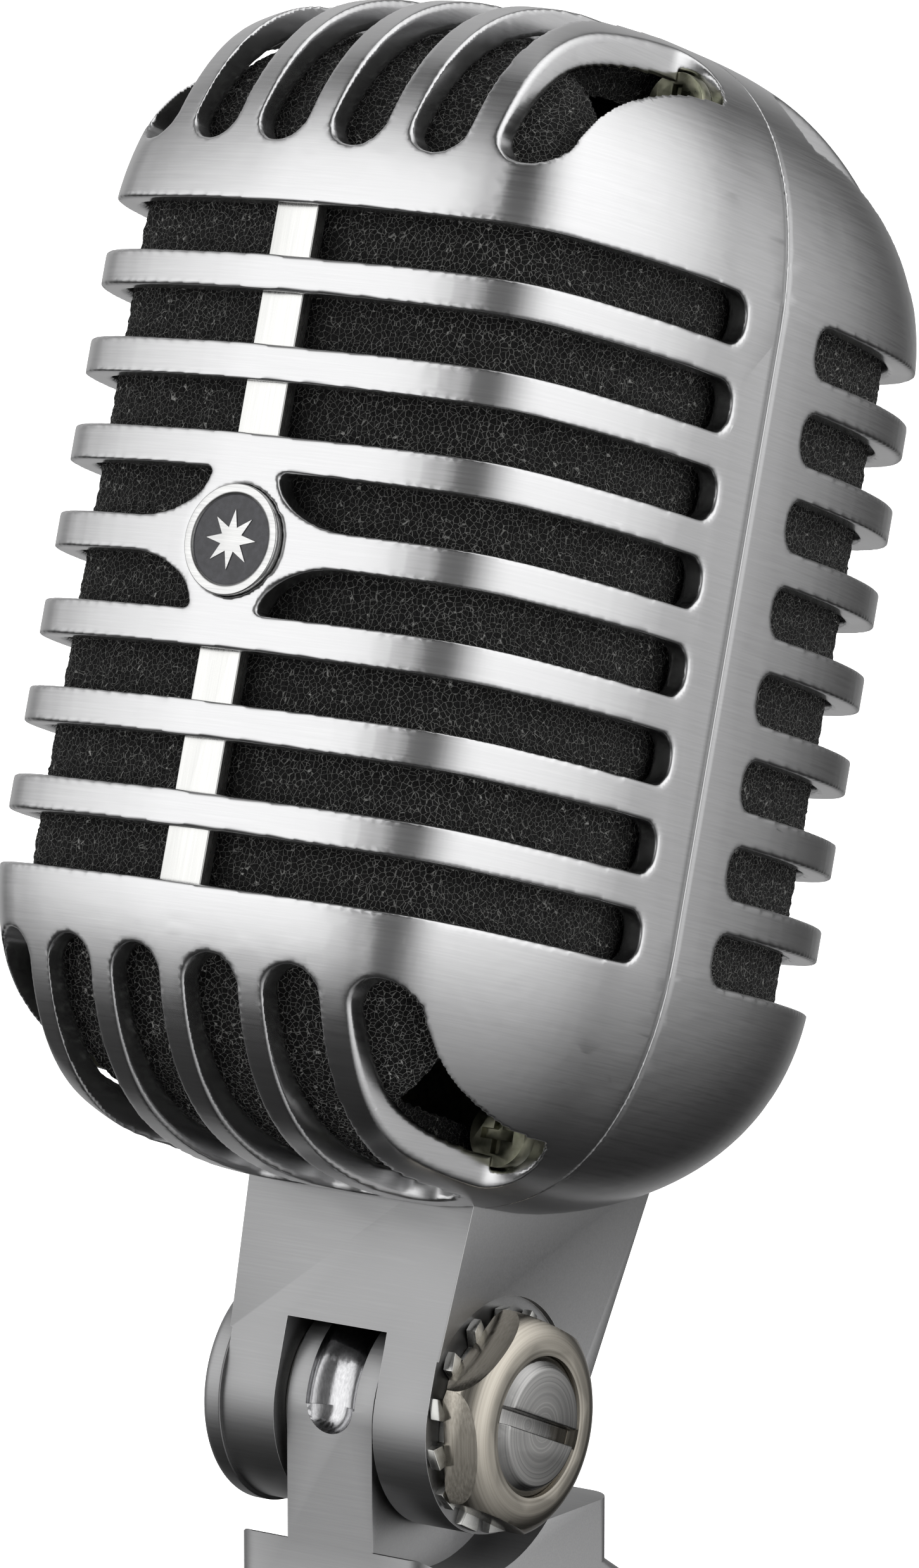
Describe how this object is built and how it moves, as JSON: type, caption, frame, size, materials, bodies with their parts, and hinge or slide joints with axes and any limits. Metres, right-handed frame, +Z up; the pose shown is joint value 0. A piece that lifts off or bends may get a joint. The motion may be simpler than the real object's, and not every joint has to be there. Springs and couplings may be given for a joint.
{
  "type": "stage vocal microphone",
  "caption": "Stage microphone with a slatted die-cast head, foam lining and a moving-coil capsule, tilting on a forked neck over a base with stand thread, slide switch and outlet.",
  "frame": {"origin": "centre of the stand thread's mouth at the bottom of the base", "axes": "+Z up along the stand thread, away from the stand; the front of the microphone faces -Y; +X is the front viewer's right, along the tilt axis towards the nut"},
  "size_m": [0.0562, 0.093, 0.1887],
  "materials": {
    "satin_chrome": "die-cast zinc, brushed satin chrome plate",
    "bright_chrome": "polished chrome plate on the centre strip and badge",
    "nickel": "turned steel, nickel plated, slightly warm",
    "zinc_steel": "bright zinc-plated steel, spring hard",
    "screw_steel": "plated steel cross-head screws",
    "foam": "black open-cell polyurethane foam",
    "brass": "turned brass thread insert",
    "alu": "turned aluminium",
    "soft_iron": "soft iron, plain",
    "magnet": "sintered magnet, dark grey",
    "film": "thin polyester film",
    "copper_coil": "enamelled copper winding",
    "rubber": "soft black rubber",
    "black_plastic": "moulded black plastic",
    "chassis_steel": "pressed steel, zinc plated",
    "gold_contact": "gold-plated contact"
  },
  "bodies": {
    "base": {"base_housing": "satin_chrome", "base_cover": "satin_chrome", "base_cover_screws": "screw_steel", "stand_insert": "brass", "socket_shell": "nickel", "socket_insulator": "black_plastic", "contact_pin_1": "gold_contact", "contact_pin_2": "gold_contact", "contact_pin_3": "gold_contact", "socket_screw": "screw_steel", "switch_plate": "bright_chrome", "switch_screws": "screw_steel", "switch_body": "black_plastic"},
    "head": {"front_shell": "satin_chrome", "rear_shell": "satin_chrome", "neck": "satin_chrome", "badge": "bright_chrome", "front_strip": "bright_chrome", "shell_screws_upper": "screw_steel", "shell_screws_lower": "screw_steel", "foam_front": "foam", "foam_rear": "foam", "capsule_housing": "alu", "capsule_cover": "alu", "diaphragm": "film", "diaphragm_ring": "alu", "voice_coil": "copper_coil", "pole_piece": "soft_iron", "magnet": "magnet", "yoke": "soft_iron", "shock_mount": "rubber", "chassis": "chassis_steel", "chassis_screws": "screw_steel", "transformer_core": "soft_iron", "transformer_coil": "copper_coil", "pivot_bolt": "nickel", "pivot_nut": "nickel", "star_washer": "zinc_steel", "friction_washers": "black_plastic"},
    "knob": {"switch_knob": "black_plastic"}
  },
  "joints": [
    {"name": "head_tilt", "type": "hinge", "parent": "base", "child": "head", "pos_m": [0, 0, 0.063], "axis": [1, 0, 0], "range_deg": [-28, 62]},
    {"name": "switch_slide", "type": "slide", "parent": "base", "child": "knob", "axis": [1, 0, 0], "range_m": [0, 0.004]}
  ]
}
